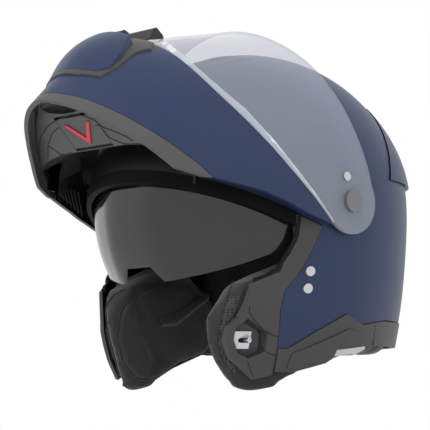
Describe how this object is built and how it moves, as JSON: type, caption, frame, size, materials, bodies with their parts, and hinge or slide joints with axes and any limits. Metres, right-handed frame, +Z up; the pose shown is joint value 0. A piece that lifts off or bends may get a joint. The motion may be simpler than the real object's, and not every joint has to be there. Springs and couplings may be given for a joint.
{
  "type": "modular motorcycle helmet",
  "caption": "Flip-up motorcycle helmet, chin bar raised, smoke sun visor down, with vents, latches, a foam liner and cheek pads.",
  "frame": {"origin": "on the middle plane, straight below the centre of the head form, in the plane on which the cheek pads stand", "axes": "+Z up, the helmet faces -Y, the rider's left is +X"},
  "size_m": [0.2622, 0.3589, 0.2931],
  "materials": {
    "shell_paint": "matt blue lacquer on a moulded composite shell",
    "trim_plastic": "satin dark grey plastic",
    "black_plastic": "matt black plastic",
    "pale_plastic": "satin pale grey plastic",
    "red_plastic": "satin red plastic",
    "gasket_rubber": "matt black rubber",
    "impact_foam": "black expanded foam",
    "pad_fabric": "black knitted fabric over foam",
    "smoke_lens": "smoke tinted polycarbonate",
    "clear_shield": "clear polycarbonate",
    "steel": "bright steel"
  },
  "bodies": {
    "helmet": {"outer_shell": "shell_paint", "shell_rivets": "steel", "strap_hanger_left": "steel", "strap_hanger_right": "steel", "impact_liner": "impact_foam", "comfort_liner": "pad_fabric", "neck_roll": "pad_fabric", "cheek_pad_left": "pad_fabric", "cheek_pad_right": "pad_fabric", "side_frame_left": "trim_plastic", "side_frame_right": "trim_plastic", "striker_left": "steel", "striker_right": "steel", "side_trim_left": "trim_plastic", "side_trim_right": "trim_plastic", "rear_trim": "trim_plastic", "pocket_cover_left": "trim_plastic", "pocket_cover_right": "trim_plastic", "brow_gasket": "gasket_rubber", "sun_visor_pin_left": "steel", "sun_visor_pin_right": "steel", "crown_vent": "trim_plastic", "rear_spoiler": "shell_paint", "pivot_pin_left": "steel", "pivot_pin_right": "steel", "pivot_cover_left": "trim_plastic", "pivot_cover_right": "trim_plastic", "pivot_washer_left": "black_plastic", "pivot_washer_right": "black_plastic"},
    "chin_bar": {"chin_shell": "shell_paint", "chin_trim": "trim_plastic", "floor_panel": "trim_plastic", "chin_inner_wall": "trim_plastic", "chin_foam": "impact_foam", "chin_sill": "trim_plastic", "breath_guard": "gasket_rubber", "lever_pin": "steel", "latch_axle_left": "steel", "latch_axle_right": "steel", "pivot_plate_left": "trim_plastic", "pivot_plate_right": "trim_plastic", "chin_vent_channel": "trim_plastic", "chin_vent_cover": "shell_paint"},
    "shield": {"face_shield": "clear_shield", "shield_tab": "black_plastic", "shield_screws": "steel"},
    "sun_visor": {"sun_visor_lens": "smoke_lens", "sun_visor_arm_left": "black_plastic", "sun_visor_arm_right": "black_plastic"},
    "visor_slider": {"sun_visor_slider": "pale_plastic"},
    "crown_slider": {"crown_vent_slider": "black_plastic"},
    "chin_slider": {"chin_vent_slider": "black_plastic"},
    "lever": {"release_lever": "trim_plastic", "release_chevron": "red_plastic"},
    "hook_left": {"latch_hook_left": "steel"},
    "hook_right": {"latch_hook_right": "steel"}
  },
  "joints": [
    {"name": "chin_bar_hinge", "type": "hinge", "parent": "helmet", "child": "chin_bar", "pos_m": [0, -0.0136, 0.1456], "axis": [1, 0, 0], "range_deg": [0, 63]},
    {"name": "shield_hinge", "type": "hinge", "parent": "chin_bar", "child": "shield", "pos_m": [0, -0.0136, 0.1456], "axis": [1, 0, 0], "range_deg": [-30, 0]},
    {"name": "sun_visor_hinge", "type": "hinge", "parent": "helmet", "child": "sun_visor", "pos_m": [0, -0.012, 0.147], "axis": [1, 0, 0], "range_deg": [-44, 0]},
    {"name": "visor_slider_slide", "type": "slide", "parent": "helmet", "child": "visor_slider", "axis": [0, 1, 0], "range_m": [0, 0.0142]},
    {"name": "crown_vent_slide", "type": "slide", "parent": "helmet", "child": "crown_slider", "axis": [0, 0.8829, 0.4695], "range_m": [0, 0.005]},
    {"name": "chin_vent_slide", "type": "slide", "parent": "chin_bar", "child": "chin_slider", "axis": [0, 0.891, 0.454], "range_m": [0, 0.003]},
    {"name": "release_lever_hinge", "type": "hinge", "parent": "chin_bar", "child": "lever", "pos_m": [0, -0.16498, 0.18984], "axis": [1, 0, 0], "range_deg": [0, 12], "stiffness_Nm_per_rad": 0.5, "springref_deg": -5.73},
    {"name": "hook_left_hinge", "type": "hinge", "parent": "chin_bar", "child": "hook_left", "pos_m": [0.08475, -0.13734, 0.18079], "axis": [1, 0, 0], "range_deg": [0, 12]},
    {"name": "hook_right_hinge", "type": "hinge", "parent": "chin_bar", "child": "hook_right", "pos_m": [-0.08475, -0.13734, 0.18079], "axis": [1, 0, 0], "range_deg": [0, 12]}
  ],
  "couplings": [
    {"joint": "visor_slider_slide", "follows": "sun_visor_hinge", "m_per_rad": -0.018491},
    {"joint": "hook_left_hinge", "follows": "release_lever_hinge", "ratio": 1},
    {"joint": "hook_right_hinge", "follows": "release_lever_hinge", "ratio": 1}
  ]
}
